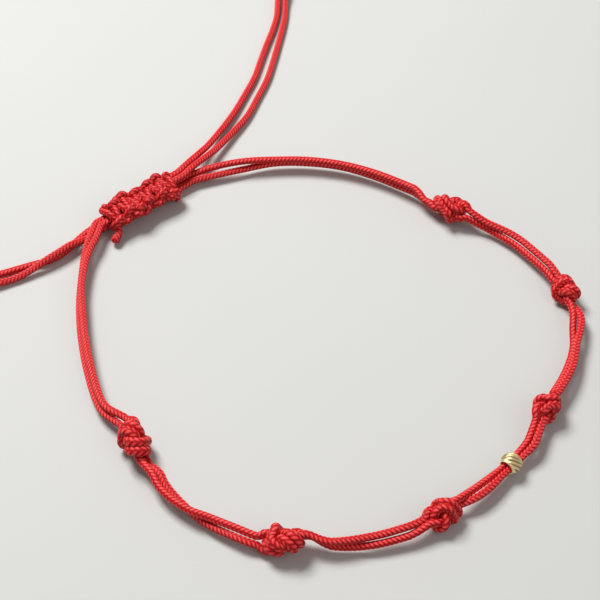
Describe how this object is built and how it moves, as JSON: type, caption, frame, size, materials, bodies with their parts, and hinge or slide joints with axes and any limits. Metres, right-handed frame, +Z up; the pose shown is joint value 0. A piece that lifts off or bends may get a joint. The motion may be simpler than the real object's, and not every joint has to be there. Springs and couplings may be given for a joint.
{
  "type": "red string bracelet",
  "caption": "Adjustable bracelet of doubled red braided string with overhand knots, one small gold bead and a sliding knot.",
  "frame": {"origin": "middle of the loop's box at the ground that it lies on, the free tails and their end knots left out", "axes": "+Z up, +X to the right and +Y away from the bead's side, as in the picture"},
  "size_m": [0.0791, 0.1016, 0.0039],
  "materials": {
    "red_braid": "round braid of fine nylon yarns, satin, in bright red",
    "red_knot": "the same braid drawn tight in a knot",
    "red_macrame": "the same braid packed in square knots, with a melted end",
    "gold_bead": "polished pale gold with slanted diamond-cut grooves"
  },
  "bodies": {
    "root": {"span_1_outer": "red_braid", "span_1_inner": "red_braid", "span_2_outer": "red_braid", "span_2_inner": "red_braid", "span_3_outer": "red_braid", "span_3_inner": "red_braid", "span_4_outer": "red_braid", "span_4_inner": "red_braid", "span_5_outer": "red_braid", "span_5_inner": "red_braid", "span_6_outer": "red_braid", "span_6_inner": "red_braid", "span_7_outer": "red_braid", "span_7_inner": "red_braid", "knot_1": "red_knot", "knot_2": "red_knot", "knot_3": "red_knot", "knot_4": "red_knot", "knot_5": "red_knot", "knot_6": "red_knot", "slider_knot": "red_macrame", "bead": "gold_bead", "tail_left_outer": "red_braid", "tail_left_inner": "red_braid", "tail_top_outer": "red_braid", "tail_top_inner": "red_braid", "end_knot_left": "red_knot", "end_knot_top": "red_knot"}
  },
  "joints": []
}
